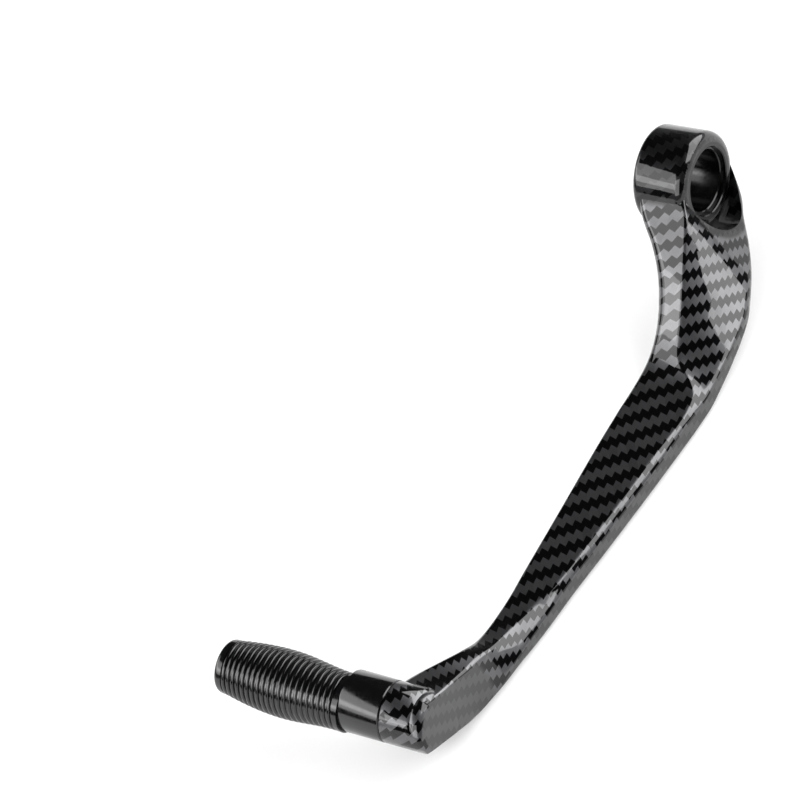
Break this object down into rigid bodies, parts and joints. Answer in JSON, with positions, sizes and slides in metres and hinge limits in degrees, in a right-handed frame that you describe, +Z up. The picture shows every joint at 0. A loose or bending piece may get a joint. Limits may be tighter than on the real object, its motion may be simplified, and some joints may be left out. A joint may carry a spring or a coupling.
{
  "type": "brake lever guard",
  "caption": "Curved guard arm in a glossy carbon-look finish, with a collar for the handlebar end and a ribbed black grip at its tip.",
  "frame": {"origin": "middle of the collar, on the bore's axis", "axes": "+X inboard along the handlebar, the way the grip points; +Y forward along the blade to the tip; +Z up, out of the blade's top face"},
  "size_m": [0.079, 0.184, 0.0379],
  "materials": {
    "arm_film": "twill carbon-look film under clear lacquer",
    "grip_black": "turned aluminium, gloss black anodised",
    "screw_steel": "zinc-plated steel cap screw"
  },
  "bodies": {
    "root": {"arm": "arm_film", "tip_grip": "grip_black", "tip_screw": "screw_steel"}
  },
  "joints": []
}
